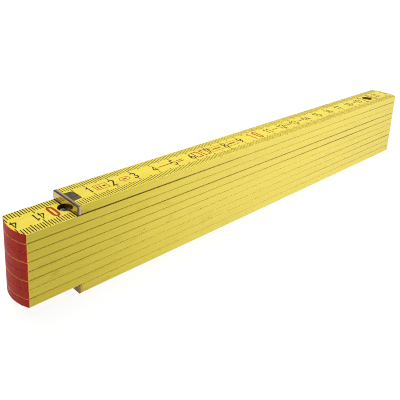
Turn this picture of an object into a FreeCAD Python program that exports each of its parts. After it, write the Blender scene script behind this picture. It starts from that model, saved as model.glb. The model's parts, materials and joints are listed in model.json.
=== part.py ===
"""Two-metre folding rule of ten wooden leaves, folded flat into a stack.

Each leaf lies on the next and turns on a concealed steel joint: a spring plate set into the
underside of the upper leaf, a detent plate set into the top of the lower leaf, and a tubular
rivet with a dished washer that holds the two plates together. The free ends of the first and
the last leaf carry a steel end cap.

Frame: X along the rule, Y across it, Z up. The origin is the centre of the lowest face.
Millimetres.
"""
import FreeCAD, Part

import math
import os

from FreeCAD import Vector

# Leaves
LEAF_COUNT = 10
PIVOT_PITCH = 200.0
LEAF_WIDTH = 16.0
LEAF_THICKNESS = 3.35
LEAF_GAP = 0.10
END_OVERHANG = 21.0  # from a pivot to the tip of the rounded end
END_BULGE = 2.0  # how far the rounded end stands past its own corners
CORNER_RADIUS = 0.8
EDGE_RADIUS = 0.25

# Concealed joint plates
PLATE_LENGTH = 34.0
PLATE_WIDTH = 11.0
PLATE_THICKNESS = 0.5
PLATE_RECESS = 0.15  # from the leaf's face down to the plate
POCKET_CLEARANCE = 0.15
DETENT_COUNT = 4
DETENT_PITCH_RADIUS = 3.9
DETENT_BUMP_RADIUS = 0.8
DETENT_BUMP_HEIGHT = 0.3
DETENT_HOLE_RADIUS = 0.95

# Rivet and dished washer
ACCESS_HOLE_RADIUS = 2.8
SHANK_RADIUS = 1.45
PLATE_BORE_RADIUS = 1.50
WASHER_BORE_RADIUS = 1.55
WASHER_RADIUS = 2.55
WASHER_THICKNESS = 0.25
WASHER_DISH = 0.20
HEAD_RADIUS = 2.3
HEAD_HEIGHT = 0.8
FLARE_HEIGHT = 1.25  # split head
FLARE_RIM_HEIGHT = 0.35  # its straight rim
FLARE_SHOULDER_RADIUS = 2.05
FLARE_SHOULDER_HEIGHT = 0.95
FLARE_CREST_OUTER_RADIUS = 1.55
FLARE_CREST_INNER_RADIUS = 1.15
FLARE_MOUTH_DEPTH = 0.45  # funnel from the crest down to the bore
RIVET_BORE_RADIUS = 0.75
RIVET_BORE_DEPTH = 3.2
PETAL_COUNT = 6
PETAL_SLIT_WIDTH = 0.35

# Pins that hold a plate to its leaf
PIN_OFFSET = 12.0  # from the pivot, one on each side
PIN_RADIUS = 0.6
PIN_LENGTH = 2.0
PIN_HEAD_RADIUS = 1.1
PIN_HEAD_HEIGHT = 0.3
PIN_CLEARANCE = 0.02

# End caps
CAP_PLATE_THICKNESS = 1.4
CAP_TAB_WIDTH = 7.1  # at the plate
CAP_TAB_END_WIDTH = 5.8
CAP_TAB_THICKNESS = 0.5
CAP_TAB_REACH = 4.8
CAP_BEND_RADIUS = 0.35
CAP_EDGE_RADIUS = 0.12
CAP_RECESS_CLEARANCE = 0.2
CAP_BARB_HEIGHT = 0.9
CAP_BARB_LENGTH = 0.45

# Worked out from the above
PITCH_Z = LEAF_THICKNESS + LEAF_GAP
HALF_PITCH = PIVOT_PITCH / 2
HALF_WIDTH = LEAF_WIDTH / 2
TIP_X = HALF_PITCH + END_OVERHANG
POCKET_DEPTH = PLATE_RECESS + PLATE_THICKNESS
BARB_WIDTH = CAP_TAB_END_WIDTH / 2
FLAT = 0.01  # an edge shorter than this along an axis lies square to that axis
UP = Vector(0, 0, 1)


def leaf_bottom(leaf):
    """Height of the underside of a leaf; leaf 1 is on top and the last one at the bottom."""
    return (LEAF_COUNT - leaf) * PITCH_Z


def pivot_x(joint):
    """X of the pivot between leaf `joint` and the leaf below it; they change sides in turn."""
    return HALF_PITCH if joint % 2 else -HALF_PITCH


def cylinder(radius, x, y, low, high):
    return Part.makeCylinder(radius, high - low, Vector(x, y, low), UP)


def box(x0, x1, y0, y1, z0, z1):
    return Part.makeBox(x1 - x0, y1 - y0, z1 - z0, Vector(x0, y0, z0))


def revolved(points, x):
    """Solid turned about the vertical through (x, 0) from a closed outline of (radius, z)."""
    outline = [Vector(x + radius, 0, z) for radius, z in points]
    face = Part.Face(Part.makePolygon(outline + outline[:1]))
    return face.revolve(Vector(x, 0, 0), UP, 360)


def oblong(x, length, width, low, high):
    """Flat bar with round ends, centred on (x, 0)."""
    radius = width / 2
    run = length / 2 - radius
    edges = [
        Part.LineSegment(Vector(x - run, -radius, low), Vector(x + run, -radius, low)),
        Part.Arc(Vector(x + run, -radius, low), Vector(x + run + radius, 0, low),
                 Vector(x + run, radius, low)),
        Part.LineSegment(Vector(x + run, radius, low), Vector(x - run, radius, low)),
        Part.Arc(Vector(x - run, radius, low), Vector(x - run - radius, 0, low),
                 Vector(x - run, -radius, low)),
    ]
    wire = Part.Wire([edge.toShape() for edge in edges])
    return Part.Face(wire).extrude(Vector(0, 0, high - low))


def has_cap(leaf):
    return leaf in (1, LEAF_COUNT)


def end_outline(side):
    """Corner, tip and corner of a rounded end, going anticlockwise; side is +1 or -1."""
    corner = side * (TIP_X - END_BULGE)
    half = side * HALF_WIDTH
    return Vector(corner, -half, 0), Vector(side * TIP_X, 0, 0), Vector(corner, half, 0)


def leaf_blank(leaf):
    """Leaf with its outline and broken edges, before any pocket or hole."""
    r0, r1, r2 = end_outline(1)
    if has_cap(leaf):
        sharp_x = -HALF_PITCH + CAP_PLATE_THICKNESS
        l0, l2 = Vector(sharp_x, HALF_WIDTH, 0), Vector(sharp_x, -HALF_WIDTH, 0)
        left_end = Part.LineSegment(l0, l2)
    else:
        sharp_x = -2 * TIP_X
        l0, l1, l2 = end_outline(-1)
        left_end = Part.Arc(l0, l1, l2)
    edges = [Part.Arc(r0, r1, r2), Part.LineSegment(r2, l0), left_end, Part.LineSegment(l2, r0)]
    wire = Part.Wire([edge.toShape() for edge in edges])
    blank = Part.Face(wire).extrude(Vector(0, 0, LEAF_THICKNESS))
    corners = [e for e in blank.Edges
               if e.BoundBox.ZLength > FLAT and e.BoundBox.XMin > sharp_x + FLAT]
    blank = blank.makeFillet(CORNER_RADIUS, corners)
    rims = [e for e in blank.Edges
            if e.BoundBox.ZLength < FLAT and e.BoundBox.XMax > sharp_x + FLAT]
    blank = blank.makeFillet(EDGE_RADIUS, rims)
    blank.translate(Vector(0, 0, leaf_bottom(leaf)))
    return blank


def pin_places(joint):
    return [pivot_x(joint) - PIN_OFFSET, pivot_x(joint) + PIN_OFFSET]


def cut_joint(leaf_shape, joint, pocket_floor, outward):
    """Plate pocket, pin holes and rivet access hole; outward is +1 for a pocket in the top."""
    x = pivot_x(joint)
    mouth = pocket_floor + outward * POCKET_DEPTH
    low, high = sorted([pocket_floor, mouth])
    grown = 2 * POCKET_CLEARANCE
    tools = [oblong(x, PLATE_LENGTH + grown, PLATE_WIDTH + grown, low, high)]
    far_face = mouth - outward * LEAF_THICKNESS
    low, high = sorted([mouth, far_face])
    tools.append(cylinder(ACCESS_HOLE_RADIUS, x, 0, low, high))
    pin_end = pocket_floor - outward * PIN_LENGTH
    low, high = sorted([mouth, pin_end])
    for pin_x in pin_places(joint):
        tools.append(cylinder(PIN_RADIUS + PIN_CLEARANCE, pin_x, 0, low, high))
    return leaf_shape.cut(tools)


def tab_blank(x0, x1, clearance, low, high):
    """Flat tab that narrows from the cap's plate to its free end, grown by clearance."""
    near = CAP_TAB_WIDTH / 2 + clearance
    far = CAP_TAB_END_WIDTH / 2 + clearance
    corners = [Vector(x0, -near, low), Vector(x1, -far, low),
               Vector(x1, far, low), Vector(x0, near, low)]
    face = Part.Face(Part.makePolygon(corners + corners[:1]))
    return face.extrude(Vector(0, 0, high - low))


def cut_cap_seats(leaf_shape, leaf):
    """Recesses for the cap's two tabs and the slots that their barbs press into."""
    low = leaf_bottom(leaf)
    high = low + LEAF_THICKNESS
    x0 = -HALF_PITCH
    x1 = x0 + CAP_TAB_REACH + CAP_RECESS_CLEARANCE
    barb_x = x0 + CAP_TAB_REACH - CAP_BARB_LENGTH
    barb_half = BARB_WIDTH / 2
    barb_depth = CAP_TAB_THICKNESS + CAP_BARB_HEIGHT
    tools = [
        tab_blank(x0, x1, CAP_RECESS_CLEARANCE, low, low + CAP_TAB_THICKNESS),
        tab_blank(x0, x1, CAP_RECESS_CLEARANCE, high - CAP_TAB_THICKNESS, high),
        box(barb_x, x1, -barb_half, barb_half, low, low + barb_depth),
        box(barb_x, x1, -barb_half, barb_half, high - barb_depth, high),
    ]
    return leaf_shape.cut(tools)


def make_leaf(leaf):
    shape = leaf_blank(leaf)
    low = leaf_bottom(leaf)
    if leaf < LEAF_COUNT:
        shape = cut_joint(shape, leaf, low + POCKET_DEPTH, -1)
    if leaf > 1:
        shape = cut_joint(shape, leaf - 1, low + LEAF_THICKNESS - POCKET_DEPTH, 1)
    if has_cap(leaf):
        shape = cut_cap_seats(shape, leaf)
    return shape


def cap_tab(face_z, inward):
    """One folded tab with its barb; face_z is the leaf's face and inward points into it."""
    x0 = -HALF_PITCH + CAP_PLATE_THICKNESS / 2
    x1 = -HALF_PITCH + CAP_TAB_REACH
    inner = face_z + inward * CAP_TAB_THICKNESS
    low, high = sorted([face_z, inner])
    tab = tab_blank(x0, x1, 0, low, high)
    tip = inner + inward * CAP_BARB_HEIGHT
    outline = [
        Vector(x1, -BARB_WIDTH / 2, inner),
        Vector(x1 - CAP_BARB_LENGTH, -BARB_WIDTH / 2, inner),
        Vector(x1, -BARB_WIDTH / 2, tip),
    ]
    face = Part.Face(Part.makePolygon(outline + outline[:1]))
    return tab.fuse(face.extrude(Vector(0, BARB_WIDTH, 0)))


def make_end_cap(leaf):
    """Steel plate over the square end, with one tab folded onto each face of the leaf."""
    low = leaf_bottom(leaf)
    high = low + LEAF_THICKNESS
    x0 = -HALF_PITCH
    plate = box(x0, x0 + CAP_PLATE_THICKNESS, -HALF_WIDTH, HALF_WIDTH, low, high)
    folds = [e for e in plate.Edges
             if e.BoundBox.YLength > HALF_WIDTH and e.BoundBox.XMax < x0 + FLAT]
    plate = plate.makeFillet(CAP_BEND_RADIUS, folds)
    sides = [e for e in plate.Edges if e.BoundBox.YLength < FLAT]
    plate = plate.makeFillet(CAP_EDGE_RADIUS, sides)
    return plate.fuse([cap_tab(low, 1), cap_tab(high, -1)]).removeSplitter()


def plate_blank(joint, low):
    """Plate with its pivot bore and pin holes, before the detents."""
    high = low + PLATE_THICKNESS
    plate = oblong(pivot_x(joint), PLATE_LENGTH, PLATE_WIDTH, low, high)
    tools = [cylinder(PLATE_BORE_RADIUS, pivot_x(joint), 0, low, high)]
    for pin_x in pin_places(joint):
        tools.append(cylinder(PIN_RADIUS + PIN_CLEARANCE, pin_x, 0, low, high))
    return plate.cut(tools)


def cut_pin_seats(plate, joint, face_z, inward):
    """Flat seats for the pin heads, flush with the plate's open face."""
    low, high = sorted([face_z, face_z + inward * PIN_HEAD_HEIGHT])
    seat_radius = PIN_HEAD_RADIUS + PIN_CLEARANCE
    seats = [cylinder(seat_radius, pin_x, 0, low, high) for pin_x in pin_places(joint)]
    return plate.cut(seats)


def detent_places(joint):
    step = 2 * math.pi / DETENT_COUNT
    return [(pivot_x(joint) + DETENT_PITCH_RADIUS * math.cos(i * step),
             DETENT_PITCH_RADIUS * math.sin(i * step)) for i in range(DETENT_COUNT)]


def make_spring_plate(joint):
    """Plate in the underside of the upper leaf, with pressed bumps that face down."""
    low = leaf_bottom(joint) + PLATE_RECESS
    plate = cut_pin_seats(plate_blank(joint, low), joint, low, 1)
    ball = (DETENT_BUMP_RADIUS ** 2 + DETENT_BUMP_HEIGHT ** 2) / (2 * DETENT_BUMP_HEIGHT)
    bumps = []
    for x, y in detent_places(joint):
        sphere = Part.makeSphere(ball, Vector(x, y, low - DETENT_BUMP_HEIGHT + ball))
        bumps.append(sphere.common(cylinder(ball, x, y, low - ball, low + PLATE_THICKNESS / 2)))
    return plate.fuse(bumps)


def make_detent_plate(joint):
    """Plate in the top of the lower leaf, with holes that the bumps click into."""
    high = leaf_bottom(joint) - LEAF_GAP - PLATE_RECESS
    low = high - PLATE_THICKNESS
    plate = cut_pin_seats(plate_blank(joint, low), joint, high, -1)
    holes = [cylinder(DETENT_HOLE_RADIUS, x, y, low, high) for x, y in detent_places(joint)]
    return plate.cut(holes)


def make_washer(joint):
    """Dished spring washer under the rivet's upper head."""
    low = leaf_bottom(joint) + POCKET_DEPTH
    return revolved([
        (WASHER_BORE_RADIUS, low + WASHER_DISH),
        (WASHER_RADIUS, low),
        (WASHER_RADIUS, low + WASHER_THICKNESS),
        (WASHER_BORE_RADIUS, low + WASHER_DISH + WASHER_THICKNESS),
    ], pivot_x(joint))


def make_rivet(joint):
    """Tubular rivet: domed head below, and above a split head opened into petals."""
    x = pivot_x(joint)
    lower_seat = leaf_bottom(joint) - LEAF_GAP - POCKET_DEPTH
    upper_seat = leaf_bottom(joint) + POCKET_DEPTH + WASHER_DISH + WASHER_THICKNESS
    shank = cylinder(SHANK_RADIUS, x, 0, lower_seat, upper_seat)
    ball = (HEAD_RADIUS ** 2 + HEAD_HEIGHT ** 2) / (2 * HEAD_HEIGHT)
    sphere = Part.makeSphere(ball, Vector(x, 0, lower_seat - HEAD_HEIGHT + ball))
    dome = sphere.common(cylinder(HEAD_RADIUS, x, 0, lower_seat - HEAD_HEIGHT, lower_seat))
    top = upper_seat + FLARE_HEIGHT
    flare = revolved([
        (0, upper_seat),
        (HEAD_RADIUS, upper_seat),
        (HEAD_RADIUS, upper_seat + FLARE_RIM_HEIGHT),
        (FLARE_SHOULDER_RADIUS, upper_seat + FLARE_SHOULDER_HEIGHT),
        (FLARE_CREST_OUTER_RADIUS, top),
        (FLARE_CREST_INNER_RADIUS, top),
        (RIVET_BORE_RADIUS, top - FLARE_MOUTH_DEPTH),
        (0, top - FLARE_MOUTH_DEPTH),
    ], x)
    tools = [cylinder(RIVET_BORE_RADIUS, x, 0, top - RIVET_BORE_DEPTH, top)]
    for i in range(PETAL_COUNT):
        slit = box(x + SHANK_RADIUS, x + 2 * HEAD_RADIUS, -PETAL_SLIT_WIDTH / 2,
                   PETAL_SLIT_WIDTH / 2, upper_seat, top)
        slit.rotate(Vector(x, 0, 0), UP, (i + 0.5) * 360 / PETAL_COUNT)
        tools.append(slit)
    return shank.fuse([dome, flare]).cut(tools).removeSplitter()


def make_pin(x, face_z, inward):
    """Plain pin; its flat head is flush with the plate and its shank goes into the wood."""
    seat = face_z + inward * PIN_HEAD_HEIGHT
    tip = face_z + inward * (PLATE_THICKNESS + PIN_LENGTH)
    low, high = sorted([face_z, seat])
    head = cylinder(PIN_HEAD_RADIUS, x, 0, low, high)
    low, high = sorted([seat, tip])
    return head.fuse(cylinder(PIN_RADIUS, x, 0, low, high)).removeSplitter()


def make_plate_pins(leaf):
    """All the pins of one leaf, as separate solids in one group."""
    low = leaf_bottom(leaf)
    pins = []
    if leaf < LEAF_COUNT:
        pins += [make_pin(x, low + PLATE_RECESS, 1) for x in pin_places(leaf)]
    if leaf > 1:
        top = low + LEAF_THICKNESS - PLATE_RECESS
        pins += [make_pin(x, top, -1) for x in pin_places(leaf - 1)]
    return Part.makeCompound(pins)


def build():
    """Every node's name and shape."""
    shapes = {}
    for leaf in range(1, LEAF_COUNT + 1):
        shapes[f"leaf_{leaf:02d}"] = make_leaf(leaf)
        shapes[f"plate_pins_{leaf:02d}"] = make_plate_pins(leaf)
    for joint in range(1, LEAF_COUNT):
        shapes[f"spring_plate_{joint:02d}"] = make_spring_plate(joint)
        shapes[f"detent_plate_{joint:02d}"] = make_detent_plate(joint)
        shapes[f"spring_washer_{joint:02d}"] = make_washer(joint)
        shapes[f"rivet_{joint:02d}"] = make_rivet(joint)
    shapes["end_cap_first"] = make_end_cap(1)
    shapes["end_cap_last"] = make_end_cap(LEAF_COUNT)
    return shapes


os.makedirs("parts", exist_ok=True)
for node, shape in build().items():
    shape.exportStep(f"parts/{node}.step")
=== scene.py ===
"""Looks of the two-metre folding rule: lacquered wood, printed scale, steel and light.

Works in metres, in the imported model's own frame: X along the rule, Y across it, Z up.
"""
import json
import math

import bmesh
import bpy
from mathutils import Matrix, Vector


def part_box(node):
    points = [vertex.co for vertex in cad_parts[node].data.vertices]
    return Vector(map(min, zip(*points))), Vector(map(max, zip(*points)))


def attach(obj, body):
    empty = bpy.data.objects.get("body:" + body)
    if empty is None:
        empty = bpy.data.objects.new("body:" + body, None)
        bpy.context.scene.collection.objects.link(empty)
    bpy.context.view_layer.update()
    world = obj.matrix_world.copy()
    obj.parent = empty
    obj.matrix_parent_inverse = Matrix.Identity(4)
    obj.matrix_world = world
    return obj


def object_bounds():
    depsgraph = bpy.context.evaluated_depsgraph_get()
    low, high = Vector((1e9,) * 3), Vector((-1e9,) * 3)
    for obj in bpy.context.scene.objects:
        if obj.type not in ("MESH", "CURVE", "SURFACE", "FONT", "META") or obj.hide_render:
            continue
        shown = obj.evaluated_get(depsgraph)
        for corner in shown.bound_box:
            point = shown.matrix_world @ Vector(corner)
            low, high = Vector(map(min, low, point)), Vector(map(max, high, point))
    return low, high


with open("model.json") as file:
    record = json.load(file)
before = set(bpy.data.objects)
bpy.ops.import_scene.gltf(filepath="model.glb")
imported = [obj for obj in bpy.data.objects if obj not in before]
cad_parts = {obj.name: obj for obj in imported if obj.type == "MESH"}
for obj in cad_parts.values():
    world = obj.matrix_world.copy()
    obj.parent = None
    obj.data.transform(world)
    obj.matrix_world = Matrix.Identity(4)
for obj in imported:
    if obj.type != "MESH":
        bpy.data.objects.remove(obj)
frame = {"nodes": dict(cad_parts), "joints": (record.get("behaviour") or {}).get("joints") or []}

CAD_LOW, CAD_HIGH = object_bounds()
MM = 0.001

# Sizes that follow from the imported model
LEAF_COUNT = sum(name.startswith("leaf_") for name in frame["nodes"])
HALF_WIDTH = CAD_HIGH.y
PIVOT_X = max(joint["pos_m"][0] for joint in frame["joints"])
TIP_X = CAD_HIGH.x

# Details of the leaves and caps that the model's boxes don't give
EDGE_RADIUS = 0.25 * MM
END_ARC_RADIUS = 17.0 * MM
HOLE_RADIUS = 2.8 * MM
POCKET_HALF_LENGTH = 17.2 * MM
POCKET_HALF_WIDTH = 5.7 * MM
CAP_PLATE = 1.4 * MM

# Camera, looking at the rule's near end from above
CAMERA_PLACE = Vector((-0.1917, -0.1563, 0.1279))
CAMERA_FORWARD = Vector((0.6713, 0.6774, -0.3007))
CAMERA_ROLL_DEGREES = 2.96
CAMERA_LENS_MM = 50.9
CAMERA_SENSOR_MM = 36
CAMERA_SHIFT_Y = -0.25

# How dark each gap looks, from above leaf 1 down to below leaf 10, at five places from the capped
# end of the rule to the other: partly grime and partly painted shade between the leaves, and the
# scale's ink runs further over the edge where it is darker. The top row is painted shade on the
# outer rim of leaf 1. CAPPED_GAPS are those beside the two leaves with a cap.
GAP_GRIME_AND_SHADE = [
    (0.1, 0.1, 0.1, 0.1, 0.1),
    (1.5, 1.0, 0.25, 0.15, 0.6),
    (0.6, 0.2, 0.05, 0.1, 0.0),
    (0.25, 0.6, 0.55, 0.6, 0.7),
    (0.45, 0.2, 0.25, 0.75, 0.15),
    (0.35, 0.25, 0.0, 0.0, 0.2),
    (0.45, 0.05, 0.0, 0.4, 0.2),
    (0.15, 0.05, 0.0, 0.05, 0.8),
    (0.4, 0.05, 0.0, 0.3, 0.15),
    (0.25, 0.1, 0.0, 0.05, 0.35),
    (0.0, 0.0, 0.0, 0.0, 0.0)]
CAPPED_GAPS = (1, LEAF_COUNT - 1)

# Printed scale
CM = 10 * MM
CM_PER_LEAF = 20
CM_PAST_PIVOT = 2
INK_THICKNESS = 0.02 * MM
INK_SINK = 0.02 * MM
INK_MARGIN = 0.1 * MM
TICK_WIDTH = 0.38 * MM
FIRST_LEAF_TICK_WIDTH = 0.30 * MM
TICK_LENGTH_MM = 3.7 * MM
TICK_LENGTH_HALF_CM = 4.6 * MM
TICK_LENGTH_CM = 5.3 * MM
TICK_LENGTH_TEN = 4.2 * MM
TICK_LAST_X = 120.2 * MM
HALF_TICK_STEP = 0.5 * MM
TICK_WRAP_DEGREES = (12, 55)
TICK_WRAP_STEPS = 3
DIGIT_HEIGHT = 4.3 * MM
DIGIT_STROKE = 0.56 * MM
DIGIT_STEP = 2.25 * MM
DIGIT_HALF_WIDTH = 0.3  # of its height, with room to spare
RED_DIGIT_HEIGHT = 6.7 * MM
RED_DIGIT_STROKE = 0.95 * MM
RED_DIGIT_NARROWING = 0.64
RED_DIGIT_STEP = 4.0 * MM
PIVOT_DIGIT_SHIFT = 4.7 * MM
NUMBER_TO_CAP = 6 * MM
NUMBER_TO_POCKET = 2 * MM
FINER_FROM_X = -80 * MM
FINER_TO_X = 0.0
FINEST_PRINT = 2 / 3
THIN_LINE = 0.24 * MM
BOLD_LINE = 0.5 * MM
INK_LAYERS = 4
INK_LAYER_STEP = 0.1  # of the ink's thickness
MITRE_LIMIT = 2.0


def add_object(name, data):
    thing = bpy.data.objects.new(name, data)
    bpy.context.scene.collection.objects.link(thing)
    return thing


# ---------------------------------------------------------------- camera

def make_camera():
    camera = add_object("camera", bpy.data.cameras.new("camera"))
    camera.data.sensor_width = CAMERA_SENSOR_MM
    camera.data.lens = CAMERA_LENS_MM
    camera.data.shift_y = CAMERA_SHIFT_Y
    camera.data.clip_start = 0.01
    camera.data.clip_end = 30
    camera.location = CAMERA_PLACE
    turn = CAMERA_FORWARD.to_track_quat("-Z", "Y").to_matrix()
    roll = Matrix.Rotation(math.radians(CAMERA_ROLL_DEGREES), 3, "Z")
    camera.rotation_mode = "QUATERNION"
    camera.rotation_quaternion = (turn @ roll).to_quaternion()
    bpy.context.scene.camera = camera


# ---------------------------------------------------------------- node helpers

class Nodes:
    """Short spellings for building a material's node tree."""

    def __init__(self, material):
        material.use_nodes = True
        self.material = material
        self.tree = material.node_tree
        self.shader = self.tree.nodes.get("Principled BSDF")

    def add(self, kind, inputs=None, **settings):
        node = self.tree.nodes.new(kind)
        for key, value in settings.items():
            setattr(node, key, value)
        for key, value in (inputs or {}).items():
            self.feed(node.inputs[key], value)
        return node

    def feed(self, socket, value):
        """Links a node's output to the socket, or sets a plain value on it."""
        if isinstance(value, bpy.types.NodeSocket):
            self.tree.links.new(value, socket)
        else:
            socket.default_value = value

    def math(self, operation, a, b=0.0, c=0.0):
        node = self.add("ShaderNodeMath", {0: a, 1: b, 2: c}, operation=operation)
        return node.outputs[0]

    def times(self, a, b):
        return self.math("MULTIPLY", a, b)

    def length(self, a, b):
        """Length of a vector whose two parts are a and b."""
        return self.math("SQRT", self.math("ADD", self.times(a, a), self.times(b, b)))

    def ramp(self, value, low, high, to_low=0.0, to_high=1.0):
        """Maps value from low..high to to_low..to_high, smoothly and clamped."""
        node = self.add("ShaderNodeMapRange", interpolation_type="SMOOTHSTEP", clamp=True)
        for key, number in enumerate((value, low, high, to_low, to_high)):
            self.feed(node.inputs[key], number)
        return node.outputs[0]

    def curve(self, value, heights):
        """Smooth curve through heights, spaced evenly over value 0..1."""
        node = self.add("ShaderNodeValToRGB", {"Fac": value})
        node.color_ramp.interpolation = "EASE"
        stops = node.color_ramp.elements
        for i, height in enumerate(heights):
            place = i / (len(heights) - 1)
            stop = stops[i] if i < 2 else stops.new(place)
            stop.position = place
            stop.color = (height, height, height, 1)
        return node.outputs["Color"]

    def noise(self, point, factors, detail=3.0, roughness=0.5, distortion=0.0, shift=(0, 0, 0)):
        """Noise 0..1 with about as many blobs to the metre, along each axis, as factors says."""
        stretched = self.add("ShaderNodeMapping", {
            "Vector": point, "Location": shift, "Scale": factors})
        node = self.add("ShaderNodeTexNoise", {
            "Vector": stretched.outputs[0], "Scale": 1.0, "Detail": detail,
            "Roughness": roughness, "Distortion": distortion})
        return node.outputs["Fac"]

    def mix(self, factor, a, b, blend="MIX"):
        node = self.add("ShaderNodeMix", data_type="RGBA", blend_type=blend)
        self.feed(node.inputs["Factor"], factor)
        self.feed(node.inputs["A"], a)
        self.feed(node.inputs["B"], b)
        return node.outputs["Result"]

    def point(self):
        """Position in the part's frame at rest, in metres."""
        return self.add("ShaderNodeTexCoord").outputs["Object"]

    def axes(self, point):
        parts = self.add("ShaderNodeSeparateXYZ", {0: point})
        return parts.outputs[0], parts.outputs[1], parts.outputs[2]

    def bump(self, height, strength, distance):
        node = self.add("ShaderNodeBump", {
            "Height": height, "Strength": strength, "Distance": distance})
        return node.outputs[0]

    def finish(self, color, roughness, normal=None, **constants):
        """Feeds the shader; a constant's name has _ for each space in its socket's name."""
        self.feed(self.shader.inputs["Base Color"], color)
        self.feed(self.shader.inputs["Roughness"], roughness)
        if normal is not None:
            self.feed(self.shader.inputs["Normal"], normal)
        for key, value in constants.items():
            self.shader.inputs[key.replace("_", " ")].default_value = value
        return self.material


def new_material(name):
    return Nodes(bpy.data.materials.new(name))


def rgb(red, green, blue):
    """Linear colour from display values 0..255."""
    def linear(v):
        v /= 255
        return v / 12.92 if v <= 0.04045 else ((v + 0.055) / 1.055) ** 2.4
    return (linear(red), linear(green), linear(blue), 1.0)


# ---------------------------------------------------------------- wood

LACQUER = (rgb(227, 206, 66), rgb(236, 217, 76))
LACQUER_DEEP = rgb(221, 197, 50)
# Painted light: the sides' lighter yellow further along the rule
LACQUER_LIT = rgb(232, 213, 112)
# Painted highlight on the rims of gaps that have little grime
LACQUER_HIGHLIGHT = rgb(255, 234, 96)
FLECK = rgb(150, 118, 40)
STAIN = rgb(190, 164, 40)
SPECK = rgb(120, 96, 30)
# Painted shade: multiplies the sides' colour at the near end
SIDE_SHADE_TINT = (0.88, 0.88, 0.82, 1)
# Grime and painted shade along the gaps between leaves
GRIME_AND_SHADE = rgb(108, 72, 0)
RED_PAINT = (rgb(174, 30, 14), rgb(194, 40, 24))
# Painted highlight: lighter red near the faces, over the gaps' shade
RED_PAINT_HIGHLIGHT = rgb(236, 66, 46)
WORN_CORNER = rgb(255, 196, 96)
BARE_RIM = rgb(255, 166, 74)
RAW_WOOD = (rgb(150, 112, 66), rgb(196, 158, 106))
# Painted shade: darker brown for the pivot holes' walls
HOLE_WALL_SHADED = rgb(124, 92, 40)

# Each pair says where on a leaf a look starts and where it is full
SIDE_Y = (HALF_WIDTH - 0.40 * MM, HALF_WIDTH - 0.08 * MM)
INNER_Y = (HALF_WIDTH - 0.9 * MM, HALF_WIDTH - 1.0 * MM)
# Along the sides: where the painted shade starts and is full, then where the painted light does
SIDE_SHADE_X = (-55 * MM, -115 * MM)
SIDE_LIGHT_X = (-110 * MM, 0.0)
UNCAPPED_X = (-PIVOT_X - 0.5 * MM, -PIVOT_X)
RIM_DEPTH = (0.26 * MM, 0.06 * MM)
BARE_RIM_DEPTH = (0.24 * MM, 0.18 * MM)
INNER_DEPTH = (0.03 * MM, 0.06 * MM)
PAINT_RADIUS = (END_ARC_RADIUS - 0.22 * MM, END_ARC_RADIUS - 0.16 * MM)
POCKET_RADIUS = (END_ARC_RADIUS - 0.5 * MM, END_ARC_RADIUS - 0.6 * MM)
HOLE_EDGE = (HOLE_RADIUS + 0.06 * MM, HOLE_RADIUS + 0.01 * MM)
PAINT_X = 118.7 * MM
PAINT_EDGE_X = (PAINT_X - 0.05 * MM, PAINT_X + 0.05 * MM)
CORNER_FROM_X = (PAINT_X - 0.35 * MM, PAINT_X - 0.20 * MM)
CORNER_TO_X = (PAINT_X + 0.10 * MM, PAINT_X - 0.05 * MM)

PAINT_WANDER = 0.15 * MM
# How far from a face the gaps' grime and painted shade reach
GRIME_AND_SHADE_DEPTH = 0.29 * MM
GRIME_AND_SHADE_DEPTH_GAIN = 0.14 * MM
GRAIN_SHIFT = (0.37, 0.11, 0.0)
NOISE_MIDDLE = (0.3, 0.7)


class LeafPlace:
    """Where a shaded point lies on its leaf, and the leaf's grain there, as node outputs."""

    def __init__(self, n, leaf):
        low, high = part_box(f"leaf_{leaf:02d}")
        self.n = n
        self.point = n.point()
        self.grain_shift = tuple(leaf * step for step in GRAIN_SHIFT)
        self.x, self.y, z = n.axes(self.point)
        self.along = n.math("ABSOLUTE", self.x)
        self.across = n.math("ABSOLUTE", self.y)
        self.at_side = n.ramp(self.across, *SIDE_Y)
        self.to_top = n.math("SUBTRACT", high.z, z)
        self.to_bottom = n.math("SUBTRACT", z, low.z)
        self.to_face = n.math("MINIMUM", self.to_bottom, self.to_top)
        self.fibre = self.noise((40, 1700, 1700), 4.0, 0.6)
        self.broad = self.noise((14, 90, 90), 3.0, 0.5)
        self.end_radius = self.wandering_radius()

    def noise(self, factors, detail, roughness=0.5, distortion=0.0):
        """Noise that differs from leaf to leaf."""
        return self.n.noise(self.point, factors, detail, roughness, distortion, self.grain_shift)

    def wandering_radius(self):
        """Distance from the axis of the round end, off by a little so that paint isn't cut sharp."""
        n = self.n
        radius = n.length(n.math("SUBTRACT", self.along, TIP_X - END_ARC_RADIUS), self.y)
        wander = n.math("SUBTRACT", self.noise((900, 900, 900), 2.0), 0.5)
        return n.math("ADD", radius, n.times(wander, PAINT_WANDER))


def lacquer(n, at):
    """Yellow over long fibres, with a broad tone change, flecks, faint stains and dark specks."""
    flecks = at.noise((160, 2600, 2600), 2.0)
    stains = at.noise((90, 260, 260), 3.0, 0.6, 0.5)
    specks = at.noise((420, 420, 420), 1.0)
    yellow = n.mix(n.ramp(at.fibre, 0.30, 0.72), *LACQUER)
    yellow = n.mix(n.ramp(at.broad, 0.35, 0.70, 0.0, 0.30), yellow, LACQUER_DEEP)
    yellow = n.mix(n.ramp(flecks, 0.70, 0.78, 0.0, 0.35), yellow, FLECK)
    yellow = n.mix(n.ramp(stains, 0.56, 0.74, 0.0, 0.35), yellow, STAIN)
    return n.mix(n.ramp(specks, 0.77, 0.81, 0.0, 0.6), yellow, SPECK)


def tone_sides(n, at, color):
    """Painted shade darkens the sides at the near end of the rule, and painted light makes them
    lighter further along.
    """
    # Painted shade at the near end, painted light from there on
    painted_side_shade = n.times(at.at_side, n.ramp(at.x, *SIDE_SHADE_X))
    painted_side_light = n.times(at.at_side, n.ramp(at.x, *SIDE_LIGHT_X, 0.0, 0.50))
    color = n.mix(painted_side_shade, color, SIDE_SHADE_TINT, "MULTIPLY")
    return n.mix(painted_side_light, color, LACQUER_LIT)


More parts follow.
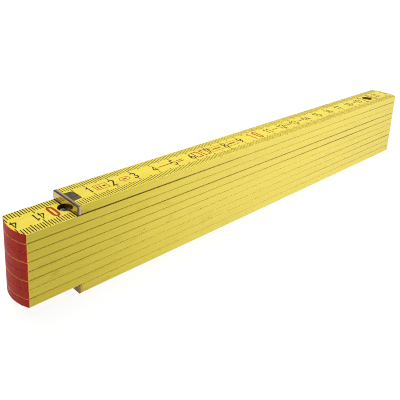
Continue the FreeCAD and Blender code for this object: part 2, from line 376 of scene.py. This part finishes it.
def dirty_gaps(n, at, leaf, color):
    """Grime and painted shade on the sides' rims along the gaps, and a painted highlight on the rim
    where a gap has little of them.
    """
    patchiness = n.ramp(at.noise((60, 700, 700), 3.0, 0.6), 0.25, 0.60, 0.65, 1.0)
    along_rule = n.math("MULTIPLY_ADD", at.x, 0.5 / TIP_X, 0.5)
    for to_rim, gap in ((at.to_top, leaf - 1), (at.to_bottom, leaf)):
        # Grime and painted shade darken the side rims beside each gap
        grime_and_shade = n.times(n.curve(along_rule, GAP_GRIME_AND_SHADE[gap]), patchiness)
        if gap in CAPPED_GAPS:
            grime_and_shade = n.times(grime_and_shade, n.ramp(at.x, *UNCAPPED_X))
        if 0 < gap < LEAF_COUNT:
            # Painted highlight: a brighter rim where a gap has little grime and shade
            painted_rim_highlight = n.math("MAXIMUM", n.math("SUBTRACT", n.ramp(to_rim, *RIM_DEPTH), grime_and_shade), 0.0)
            color = n.mix(n.times(painted_rim_highlight, at.at_side), color, LACQUER_HIGHLIGHT)
        depth = n.math("MULTIPLY_ADD", grime_and_shade, GRIME_AND_SHADE_DEPTH_GAIN, GRIME_AND_SHADE_DEPTH)
        cover = n.math("MINIMUM", n.times(grime_and_shade, 0.8), 1.0)
        grime_and_shade_cover = n.times(n.ramp(to_rim, depth, RIM_DEPTH[1]), cover)
        color = n.mix(n.times(grime_and_shade_cover, at.at_side), color, GRIME_AND_SHADE)
    return color


def paint_ends(n, at, leaf, color):
    """Red paint on the round ends, lighter near the faces as a painted highlight, with worn corners;
    a bare rim at the joint to the leaf above.
    """
    red = n.times(n.ramp(at.end_radius, *PAINT_RADIUS), n.ramp(at.along, *PAINT_EDGE_X))
    paint = n.mix(n.ramp(at.noise((500, 500, 260), 4.0), *NOISE_MIDDLE), *RED_PAINT)
    # Painted highlight: lighter red near the faces
    paint = n.mix(n.ramp(at.to_face, *RIM_DEPTH, 0.0, 0.8), paint, RED_PAINT_HIGHLIGHT)
    color = n.mix(red, color, paint)

    corner = n.times(n.ramp(at.along, *CORNER_FROM_X), n.ramp(at.along, *CORNER_TO_X))
    color = n.mix(n.times(n.times(corner, at.at_side), 0.5), color, WORN_CORNER)

    if leaf > 1:
        towards_joint = n.times(at.x, 1.0 if leaf % 2 == 0 else -1.0)
        bare = n.times(n.ramp(towards_joint, 0.0, 1 * MM), n.ramp(at.to_top, *BARE_RIM_DEPTH))
        color = n.mix(n.times(red, bare), color, BARE_RIM)
    return color, red


def bare_inside(n, at, color):
    """Raw wood in the plate pockets, and darker brown in the pivot holes as painted shade."""
    raw = n.mix(n.ramp(at.fibre, *NOISE_MIDDLE), *RAW_WOOD)
    inner = n.times(n.ramp(at.to_face, *INNER_DEPTH), n.ramp(at.across, *INNER_Y))
    inner = n.times(inner, n.ramp(at.end_radius, *POCKET_RADIUS))
    to_axis = n.length(n.math("SUBTRACT", at.along, PIVOT_X), at.y)
    color = n.mix(inner, color, raw)
    # Painted shade on the pivot holes' walls
    return n.mix(n.ramp(to_axis, *HOLE_EDGE), color, HOLE_WALL_SHADED), inner


def wood_material(leaf):
    """Yellow lacquer over wood, red paint on the round ends, raw wood inside the joints."""
    n = new_material(f"lacquered_wood_{leaf:02d}")
    at = LeafPlace(n, leaf)
    color = tone_sides(n, at, lacquer(n, at))
    color = dirty_gaps(n, at, leaf, color)
    color, red = paint_ends(n, at, leaf, color)
    color, inner = bare_inside(n, at, color)

    rough = n.ramp(at.broad, *NOISE_MIDDLE, 0.30, 0.42)
    rough = n.math("ADD", rough, n.times(n.math("MAXIMUM", inner, red), 0.35))
    peel = at.noise((700, 700, 700), 2.0)
    height = n.math("ADD", n.times(at.fibre, 0.7), n.times(peel, 0.3))
    return n.finish(color, rough, n.bump(height, 0.25, 0.04 * MM),
                    Coat_Weight=0.05, Coat_Roughness=0.18,
                    Specular_IOR_Level=0.16, Sheen_Weight=0.05, Sheen_Roughness=0.4)


# ---------------------------------------------------------------- ink and steel

# Caps: the first one's bright warm plate is a painted reflection, its darker fold painted shade; the
# last one's dark plate is painted shade, its lighter fold a painted highlight
CAP_LIT_WARM = (rgb(176, 158, 118), rgb(210, 192, 150))
CAP_LIT_FOLD_SHADED = (rgb(82, 76, 56), rgb(118, 110, 84))
CAP_SHADED = (rgb(70, 59, 27), rgb(105, 90, 46))
CAP_SHADED_FOLD_LIT = (rgb(116, 99, 52), rgb(148, 129, 76))
# Painted highlight on the last cap's sides
CAP_SIDE_HIGHLIGHT = (rgb(164, 146, 82), rgb(200, 180, 112))
# Painted shade: the tabs set into the faces are darker
CAP_TAB_SHADED = (rgb(76, 71, 48), rgb(112, 106, 78))
PLATE_STEEL = (rgb(120, 118, 112), rgb(168, 166, 160))
SPRING_STEEL = (rgb(96, 94, 90), rgb(158, 156, 150))
RIVET_STEEL = (rgb(206, 199, 172), rgb(246, 238, 210))
BLACK_INK = (rgb(32, 22, 2), rgb(66, 48, 6))
RED_INK = (rgb(156, 56, 3), rgb(180, 72, 8))

# Where on a cap a look starts and where it is full
CAP_TAB_X = (-PIVOT_X + CAP_PLATE - 0.05 * MM, -PIVOT_X + CAP_PLATE + 0.05 * MM)
CAP_TAB_DEPTH = (0.6 * MM, 0.5 * MM)
CAP_FOLD_X = (-PIVOT_X + 0.95 * MM, -PIVOT_X + 0.45 * MM)
CAP_FOLD_DEPTH = (0.32 * MM, 0.16 * MM)
CAP_SIDE_HIGHLIGHT_DEPTH = (0.30 * MM, 0.10 * MM)


def ink_material(name, dark, light):
    """Printed ink: slightly uneven, with a dry-looking speckle."""
    n = new_material(name)
    point = n.point()
    speckle = n.noise(point, (4000, 4000, 4000))
    tone = n.noise(point, (120, 120, 120), 2.0)
    color = n.mix(n.ramp(speckle, 0.35, 0.75), dark, light)
    color = n.mix(n.ramp(tone, 0.4, 0.8, 0.0, 0.35), color, light)
    return n.finish(color, n.ramp(speckle, *NOISE_MIDDLE, 0.45, 0.62),
                    n.bump(speckle, 0.2, 0.01 * MM), Specular_IOR_Level=0.12)


def steel_material(name, tones, rough_range, line_factors=(60, 2500, 2500), metal=1.0):
    """Rolled or brushed steel with fine lines and faint stains."""
    n = new_material(name)
    dark, light = tones
    point = n.point()
    lines = n.noise(point, line_factors, 4.0, 0.65)
    stains = n.noise(point, (420, 420, 420), 4.0, 0.6, 0.4)
    color = n.mix(n.ramp(lines, *NOISE_MIDDLE), dark, light)
    color = n.mix(n.ramp(stains, 0.52, 0.75, 0.0, 0.5), color, dark)
    rough = n.math("ADD", n.ramp(lines, *NOISE_MIDDLE, *rough_range),
                   n.ramp(stains, 0.5, 0.8, 0.0, 0.12))
    return n.finish(color, rough, n.bump(lines, 0.25, 0.02 * MM), Metallic=metal)


def cap_material(leaf):
    """Plate over the leaf's end, with a darker, rougher tab set into each face; the darker tone is
    painted shade.

    The first leaf's plate is bright and warm, a painted reflection, with painted shade at its fold;
    the last one's is dark, painted shade, and lighter at its fold and sides as painted highlights.
    """
    n = new_material(f"cap_steel_{leaf:02d}")
    low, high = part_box(f"leaf_{leaf:02d}")
    point = n.point()
    x, y, z = n.axes(point)
    lines = n.noise(point, (2600, 90, 2600), 4.0, 0.65)
    stains = n.noise(point, (600, 600, 600), 4.0, 0.6, 0.4)
    brushed = n.ramp(lines, *NOISE_MIDDLE)
    stained = n.ramp(stains, 0.35, 0.7)
    to_side = n.math("SUBTRACT", HALF_WIDTH, n.math("ABSOLUTE", y))
    to_face = n.math("MINIMUM", n.math("SUBTRACT", z, low.z), n.math("SUBTRACT", high.z, z))
    to_edge = n.math("MINIMUM", to_face, to_side)
    # First cap: painted reflection, painted shade at the fold; last cap: painted shade, painted
    # highlights at fold and sides
    if leaf == 1:
        plate = n.mix(brushed, *CAP_LIT_WARM)
        fold = n.mix(stained, *CAP_LIT_FOLD_SHADED)
    else:
        # Painted highlight along the last cap's sides
        side_highlight = n.ramp(to_side, *CAP_SIDE_HIGHLIGHT_DEPTH)
        plate = n.mix(side_highlight, n.mix(brushed, *CAP_SHADED), n.mix(brushed, *CAP_SIDE_HIGHLIGHT))
        fold = n.mix(stained, *CAP_SHADED_FOLD_LIT)
    on_tab = n.times(n.ramp(x, *CAP_TAB_X), n.ramp(to_face, *CAP_TAB_DEPTH))
    # Painted shade at the first cap's fold, painted highlight at the last cap's
    at_fold = n.times(n.ramp(x, *CAP_FOLD_X), n.ramp(to_edge, *CAP_FOLD_DEPTH))
    color = n.mix(at_fold, plate, fold)
    # Painted shade on the tabs; their added roughness is real
    color = n.mix(on_tab, color, n.mix(stained, *CAP_TAB_SHADED))
    rough = n.math("ADD", n.ramp(lines, *NOISE_MIDDLE, 0.10, 0.22), n.times(on_tab, 0.25))
    return n.finish(color, rough, n.bump(lines, 0.2, 0.02 * MM), Metallic=1.0)


def dress_cad():
    """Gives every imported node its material."""
    plate = steel_material("plate_steel", PLATE_STEEL, (0.28, 0.42))
    spring = steel_material("spring_steel", SPRING_STEEL, (0.25, 0.4), (900, 900, 900))
    rivet = steel_material("rivet_steel", RIVET_STEEL, (0.28, 0.42), (1500, 1500, 1500), 0.6)
    finishes = {"spring_plate": plate, "detent_plate": plate, "spring_washer": spring,
                "rivet": rivet, "plate_pins": rivet}
    for name, node in frame["nodes"].items():
        family, number = name.rsplit("_", 1)
        if family == "leaf":
            material = wood_material(int(number))
        elif family == "end_cap":
            material = cap_material(1 if number == "first" else LEAF_COUNT)
        else:
            material = finishes[family]
        node.data.materials.clear()
        node.data.materials.append(material)
        for polygon in node.data.polygons:
            polygon.material_index = 0


# ---------------------------------------------------------------- printed scale

def arc(cx, cy, rx, ry, start, end, steps=10):
    """Points on an ellipse's arc, from start to end in degrees."""
    turns = [math.radians(start + (end - start) * i / steps) for i in range(steps + 1)]
    return [(cx + rx * math.cos(t), cy + ry * math.sin(t)) for t in turns]


# Strokes of each digit on a body 1 high and about 0.42 wide, centred across
GLYPHS = {
    "0": [arc(0, 0.77, 0.21, 0.23, 0, 180) + arc(0, 0.23, 0.21, 0.23, 180, 360) + [(0.21, 0.77)]],
    "1": [[(-0.15, 0.80), (0.04, 1.0), (0.04, 0.0)]],
    "2": [arc(0, 0.77, 0.20, 0.23, 165, -20, 12) + [(-0.20, 0.0), (0.22, 0.0)]],
    "3": [arc(-0.01, 0.76, 0.19, 0.24, 155, -90, 12) + arc(-0.01, 0.26, 0.21, 0.26, 90, -155, 12)],
    "4": [[(0.11, 0.0), (0.11, 1.0), (-0.23, 0.27)], [(-0.23, 0.27), (0.25, 0.27)]],
    "5": [[(0.18, 1.0), (-0.16, 1.0), (-0.19, 0.55)] + arc(-0.01, 0.31, 0.21, 0.31, 125, -150, 12)],
    "6": [arc(0.24, 0.27, 0.45, 0.75, 102, 180, 8) + arc(0, 0.27, 0.21, 0.27, 180, 540, 16)],
    "7": [[(-0.20, 1.0), (0.20, 1.0), (-0.06, 0.0)]],
    "8": [arc(0, 0.76, 0.18, 0.24, -90, 270, 16), arc(0, 0.26, 0.21, 0.26, 90, 450, 16)],
    "9": [arc(-0.24, 0.73, 0.45, 0.75, -78, 0, 8) + arc(0, 0.73, 0.21, 0.27, 0, 360, 16)],
}


def has_cap(leaf):
    return leaf in (1, LEAF_COUNT)


def gap_dirt(gap, x):
    """How dark a gap is at x, between the places that GAP_GRIME_AND_SHADE gives.

    The gaps beside the first and the last leaf end where those leaves do, at their caps.
    """
    if gap in CAPPED_GAPS and x < -PIVOT_X:
        return 0.0
    heights = GAP_GRIME_AND_SHADE[gap]
    place = (x / TIP_X + 1) / 2 * (len(heights) - 1)
    i = min(int(place), len(heights) - 2)
    return heights[i] + (heights[i + 1] - heights[i]) * (place - i)


class Face:
    """One printed face of a leaf: turns drawing coordinates into points on its surface.

    A drawing's u runs the way the numbers read and v towards their tops; rise is the height
    above the face. read, up and out are 1 or -1: the way of u along X, of v along Y and of rise
    along Z.
    """

    def __init__(self, leaf, top):
        low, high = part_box(f"leaf_{leaf:02d}")
        self.leaf = leaf
        self.top = top
        self.z = high.z if top else low.z
        self.out = 1 if top else -1
        self.read = 1 if leaf % 2 else -1
        self.up = self.read * self.out
        self.first_cm = CM_PER_LEAF * (leaf - 1)
        self.start_x = -self.read * PIVOT_X
        self.gap = leaf - 1 if top else leaf

    def x_of(self, cm):
        return self.start_x + self.read * (cm - self.first_cm) * CM

    def place(self, x, u, v, rise):
        return (x + self.read * u, self.up * v, self.z + self.out * rise)

    def flat_reach(self, x):
        """How far from the middle line a tick at x runs if it stays flat, or None if it wraps.

        Ticks stay flat on a round end and on the capped half of a leaf.
        """
        if has_cap(self.leaf) and x < 0:
            return HALF_WIDTH - 2 * EDGE_RADIUS
        past_centre = max(abs(x) - (TIP_X - END_ARC_RADIUS), 0.0)
        reach = math.sqrt(END_ARC_RADIUS ** 2 - past_centre ** 2) - 2 * EDGE_RADIUS
        return reach if reach < HALF_WIDTH - EDGE_RADIUS else None

    def joint_x(self):
        """X of the pivot whose plate is let into this face, or None."""
        if self.top:
            return self.start_x if self.leaf > 1 else None
        return -self.start_x if self.leaf < LEAF_COUNT else None


class Ink:
    """Collects thin closed slabs of ink for one piece."""

    def __init__(self):
        self.points = []
        self.faces = []
        self.strokes = 0

    def slab(self, rings):
        """Closed slab from rings of four points; consecutive rings are joined."""
        base = len(self.points)
        for ring in rings:
            self.points += ring
        last = base + 4 * (len(rings) - 1)
        self.faces.append((base + 3, base + 2, base + 1, base))
        self.faces.append((last, last + 1, last + 2, last + 3))
        for start in range(base, last, 4):
            for side in range(4):
                turn = (side + 1) % 4
                self.faces.append((start + side, start + turn, start + 4 + turn, start + 4 + side))

    def stroke(self, face, x, line, width):
        """Ribbon of the given width along a line of (u, v) points about x.

        Each ribbon is a hair thicker than the last few, so that crossing ones don't share a plane.
        """
        self.strokes += 1
        top = INK_THICKNESS * (1 + INK_LAYER_STEP * (self.strokes % INK_LAYERS))
        rings = []
        for i, (u, v) in enumerate(line):
            before = line[max(i - 1, 0)]
            after = line[min(i + 1, len(line) - 1)]
            side = corner_offset(before, (u, v), after, width / 2)
            left = (u + side[0], v + side[1])
            right = (u - side[0], v - side[1])
            rings.append([
                face.place(x, *right, top), face.place(x, *left, top),
                face.place(x, *left, -INK_SINK), face.place(x, *right, -INK_SINK)])
        self.slab(rings)

    def tick(self, face, x, side, length):
        """Millimetre tick at x, on the leaf's edge at y above (side 1) or below (side -1) zero."""
        half = tick_width(face.leaf, x, length) / 2
        rings = []
        for across, height, lean in tick_path(face, x, length):
            ring = []
            for end, lift in ((-half, INK_THICKNESS), (half, INK_THICKNESS),
                              (half, -INK_SINK), (-half, -INK_SINK)):
                v = side * (across + lift * math.sin(lean))
                rise = height + lift * math.cos(lean)
                ring.append((x + end, v, face.z + face.out * rise))
            rings.append(ring)
        self.slab(rings)

    def make_piece(self, name, leaf, material):
        mesh = bpy.data.meshes.new(name)
        mesh.from_pydata(self.points, [], self.faces)
        mesh.materials.append(material)
        make_outward(mesh)
        piece = add_object(name, mesh)
        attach(piece, f"section_{leaf:02d}")


def make_outward(mesh):
    work = bmesh.new()
    work.from_mesh(mesh)
    bmesh.ops.recalc_face_normals(work, faces=work.faces)
    work.to_mesh(mesh)
    work.free()


def corner_offset(before, here, after, half):
    """Vector from a line's point to the ribbon's left side, mitred at corners."""
    ahead = Vector((after[0] - here[0], after[1] - here[1]))
    behind = Vector((here[0] - before[0], here[1] - before[1]))
    if ahead.length == 0:
        ahead = behind
    if behind.length == 0:
        behind = ahead
    ahead.normalize()
    behind.normalize()
    middle = (ahead + behind).normalized()
    square = Vector((-middle.y, middle.x))
    stretch = 1 / max(square.dot(Vector((-ahead.y, ahead.x))), 1 / MITRE_LIMIT)
    return square * half * stretch


def fineness(leaf, x):
    """What a stroke's width is multiplied by: the first leaf's print gets finer up to its middle."""
    if leaf > 1:
        return 1.0
    share = (x - FINER_FROM_X) / (FINER_TO_X - FINER_FROM_X)
    return 1.0 - (1.0 - FINEST_PRINT) * min(max(share, 0.0), 1.0)


def tick_width(leaf, x, length):
    if leaf > 1:
        return TICK_WIDTH
    if length > TICK_LENGTH_MM:
        return FIRST_LEAF_TICK_WIDTH
    return FIRST_LEAF_TICK_WIDTH * fineness(leaf, x)


def tick_length(millimetre):
    if millimetre % 100 == 0:
        return TICK_LENGTH_TEN
    if millimetre % 10 == 0:
        return TICK_LENGTH_CM
    if millimetre % 5 == 0:
        return TICK_LENGTH_HALF_CM
    return TICK_LENGTH_MM


def tick_path(face, x, length):
    """Places along a tick: distance from the leaf's middle line, height and the surface's lean."""
    start = (HALF_WIDTH - length, 0.0, 0.0)
    flat_reach = face.flat_reach(x)
    if flat_reach is not None:
        return [start, (flat_reach, 0.0, 0.0)]
    least, most = TICK_WRAP_DEGREES
    wrap = least + (most - least) * min(gap_dirt(face.gap, x), 1.0)
    leans = [math.radians(wrap * i / TICK_WRAP_STEPS) for i in range(TICK_WRAP_STEPS + 1)]
    return [start] + [(HALF_WIDTH - EDGE_RADIUS + EDGE_RADIUS * math.sin(lean),
                       EDGE_RADIUS * (math.cos(lean) - 1), lean) for lean in leans]


def print_ticks(ink, face):
    """Millimetre ticks on both edges: none on a cap or past a joint, short ones by its plate."""
    joint_x = face.joint_x()
    first = 10 * (face.first_cm - CM_PAST_PIVOT)
    last = 10 * (face.first_cm + CM_PER_LEAF + CM_PAST_PIVOT)
    for millimetre in range(first, last + 1):
        x = face.x_of(millimetre / 10)
        on_cap = has_cap(face.leaf) and x < -PIVOT_X + CAP_PLATE + INK_MARGIN
        if abs(x) > TICK_LAST_X or on_cap:
            continue
        length = tick_length(millimetre)
        if abs(abs(x) - PIVOT_X) < HALF_TICK_STEP:
            length = HALF_WIDTH - HOLE_RADIUS - INK_MARGIN
        if joint_x is not None:
            if abs(x) > PIVOT_X + HALF_TICK_STEP and x * joint_x > 0:
                continue
            if abs(x - joint_x) < POCKET_HALF_LENGTH + HALF_TICK_STEP:
                length = min(length, HALF_WIDTH - POCKET_HALF_WIDTH - INK_MARGIN)
        for side in (-1, 1):
            ink.tick(face, x, side, length)


def print_number(ink, face, cm, height, stroke, step, narrowing=1.0, gap=0.0):
    """One number centred on its mark; gap opens it in the middle, round a pivot hole."""
    text = str(cm)
    for i, digit in enumerate(text):
        shift = (i - (len(text) - 1) / 2) * step
        if gap:
            shift = math.copysign(gap + (abs(shift) - step / 2), shift)
        x = face.x_of(cm) + face.read * shift
        reach = TIP_X - END_ARC_RADIUS + math.sqrt(END_ARC_RADIUS ** 2 - (height / 2) ** 2)
        if abs(x) + DIGIT_HALF_WIDTH * height > reach:
            continue
        for line in GLYPHS[digit]:
            scaled = [(u * height * narrowing, (v - 0.5) * height) for u, v in line]
            ink.stroke(face, x, scaled, stroke)


def print_numbers(black, red, face):
    """Centimetre numbers, every tenth large and red; it leaves out those that have no room."""
    joint_x = face.joint_x()
    first = max(face.first_cm - CM_PAST_PIVOT, 1)
    last = face.first_cm + CM_PER_LEAF + CM_PAST_PIVOT
    for cm in range(first, last + 1):
        x = face.x_of(cm)
        at_cap = has_cap(face.leaf) and x < -PIVOT_X + NUMBER_TO_CAP
        if joint_x is None:
            at_joint = False
        else:
            in_pocket = abs(x - joint_x) < POCKET_HALF_LENGTH + NUMBER_TO_POCKET
            at_joint = in_pocket or (x * joint_x > 0 and abs(x) > PIVOT_X)
        if at_cap or at_joint:
            continue
        fine = fineness(face.leaf, x)
        if cm % 10 == 0:
            opened = PIVOT_DIGIT_SHIFT if cm % CM_PER_LEAF == 0 else 0.0
            print_number(red, face, cm, RED_DIGIT_HEIGHT, RED_DIGIT_STROKE * fine,
                         RED_DIGIT_STEP, RED_DIGIT_NARROWING, opened)
        else:
            print_number(black, face, cm, DIGIT_HEIGHT, DIGIT_STROKE * (1 + fine) / 2, DIGIT_STEP)


def frame_line(u0, u1, half_height):
    """Closed line round a box; it starts in the middle of a side, so its corners are mitred."""
    middle = (u0 + u1) / 2
    return [(middle, -half_height), (u1, -half_height), (u1, half_height),
            (u0, half_height), (u0, -half_height), (middle, -half_height)]


def bar(u0, u1, v=0.0):
    return [(u0, v), (u1, v)]


def print_marks(red, face):
    """Plain red marks along the first leaf: frames and bars with no lettering.

    Their places are in millimetres from the rule's start and from the leaf's middle line.
    """
    def draw(width, *shapes):
        for shape in shapes:
            line = [(u * MM, v * MM) for u, v in shape]
            red.stroke(face, face.start_x, line, width)

    draw(THIN_LINE, frame_line(12.4, 17.7, 1.9))
    draw(BOLD_LINE, [(13.4, -1.0), (13.4, 1.0)], [(14.6, -1.0), (14.6, 1.0)])
    draw(1.0 * MM, bar(15.6, 16.9))
    pill = arc(26.3, 0, 1.3, 1.4, -90, 90) + arc(24.6, 0, 1.3, 1.4, 90, 270) + [(26.3, -1.4)]
    draw(THIN_LINE, pill)
    draw(0.7 * MM, bar(24.4, 26.5))
    draw(BOLD_LINE, bar(42.0, 49.0), bar(52.0, 55.2, 0.6), bar(52.0, 55.2, -0.6))
    draw(BOLD_LINE, frame_line(61.8, 64.6, 2.4), frame_line(66.2, 69.0, 2.4))
    draw(THIN_LINE, frame_line(71.2, 87.6, 1.9))
    draw(0.8 * MM, bar(72.4, 77.5), bar(81.8, 86.4))
    draw(BOLD_LINE, bar(113, 117), bar(122, 128), bar(133, 139), bar(183, 188))


def print_scale():
    black = ink_material("black_ink", *BLACK_INK)
    red = ink_material("red_ink", *RED_INK)
    for leaf in range(1, LEAF_COUNT + 1):
        black_ink = Ink()
        red_ink = Ink()
        for top in (True, False):
            face = Face(leaf, top)
            print_ticks(black_ink, face)
            print_numbers(black_ink, red_ink, face)
            if leaf == 1 and top:
                print_marks(red_ink, face)
        black_ink.make_piece(f"scale_black_{leaf:02d}", leaf, black)
        red_ink.make_piece(f"scale_red_{leaf:02d}", leaf, red)


# ---------------------------------------------------------------- studio

WHITE = (1, 1, 1, 1)
FLOOR_TONES = ((0.12, 0.12, 0.12, 1), (0.14, 0.14, 0.14, 1))
FLOOR_HALF_SIZE = 12.0
FLOOR_GLOW = (0.90, 1.0)
FLOOR_GLOW_REACH = (0.2, 2.0)
FLOOR_DROP = 2 * INK_THICKNESS
WORLD_GLOW = 0.03
DOME_RADIUS = 11.0


def make_floor():
    """White light-table: its glow keeps the shadow faint, and grows where the lamps' light ends."""
    size = FLOOR_HALF_SIZE
    mesh = bpy.data.meshes.new("floor")
    corners = [(-size, -size, 0), (size, -size, 0), (size, size, 0), (-size, size, 0)]
    mesh.from_pydata(corners, [], [(0, 1, 2, 3)])
    n = new_material("floor")
    point = n.point()
    grain = n.noise(point, (30, 30, 30))
    away = n.add("ShaderNodeVectorMath", {0: point}, operation="LENGTH").outputs["Value"]
    color = n.mix(grain, *FLOOR_TONES)
    n.feed(n.shader.inputs["Emission Strength"], n.ramp(away, *FLOOR_GLOW_REACH, *FLOOR_GLOW))
    mesh.materials.append(n.finish(color, 0.9, Emission_Color=WHITE, Specular_IOR_Level=0.0))
    floor = add_object("floor", mesh)
    floor.location.z = -FLOOR_DROP


def make_backdrop():
    """White dome behind everything; only the camera sees it, so it lights nothing."""
    n = new_material("backdrop")
    material = n.finish(WHITE, 1.0, Emission_Color=WHITE, Emission_Strength=1.0,
                        Specular_IOR_Level=0.0)
    mesh = bpy.data.meshes.new("backdrop")
    shape = bmesh.new()
    bmesh.ops.create_uvsphere(shape, u_segments=48, v_segments=24, radius=DOME_RADIUS)
    shape.to_mesh(mesh)
    shape.free()
    mesh.materials.append(material)
    dome = add_object("backdrop", mesh)
    dome.visible_diffuse = False
    dome.visible_glossy = False
    dome.visible_shadow = False


def make_world():
    world = bpy.data.worlds.new("studio")
    world.use_nodes = True
    background = world.node_tree.nodes["Background"]
    background.inputs["Color"].default_value = WHITE
    background.inputs["Strength"].default_value = WORLD_GLOW
    bpy.context.scene.world = world


def add_light(name, kind, place, target, power):
    data = bpy.data.lights.new(name, kind)
    data.energy = power
    light = add_object(name, data)
    light.location = place
    aim = Vector(target) - Vector(place)
    light.rotation_euler = aim.to_track_quat("-Z", "Y").to_euler()
    light.visible_camera = False
    return data


def make_softbox(name, place, size, power):
    """Square lamp aimed at the origin."""
    add_light(name, "AREA", place, (0, 0, 0), power).size = size


def make_front_spot():
    """Wide soft-edged lamp in front: it leaves the near end of the rule a little darker."""
    lamp = add_light("front_spot", "SPOT", place=(0.10, -0.60, 0.28),
                     target=(0.04, 0, 0.015), power=10.6)
    lamp.spot_size = math.radians(36)
    lamp.spot_blend = 1.0
    lamp.shadow_soft_size = 0.08


def make_studio():
    scene = bpy.context.scene
    scene.view_settings.view_transform = "Standard"
    # Both of these keep the millimetre ticks apart in a small picture
    scene.cycles.denoising_prefilter = "NONE"
    scene.cycles.filter_width = 1.0
    make_floor()
    make_backdrop()
    make_world()
    make_softbox("top_softbox", place=(0.0, 0.4, 1.5), size=1.2, power=27)
    make_softbox("rear_softbox", place=(1.3, 1.3, 0.8), size=1.7, power=5.5)
    make_softbox("back_softbox", place=(-0.35, 0.6, 0.25), size=0.4, power=0.5)
    make_front_spot()


make_camera()
dress_cad()
print_scale()
make_studio()
bpy.context.view_layer.update()
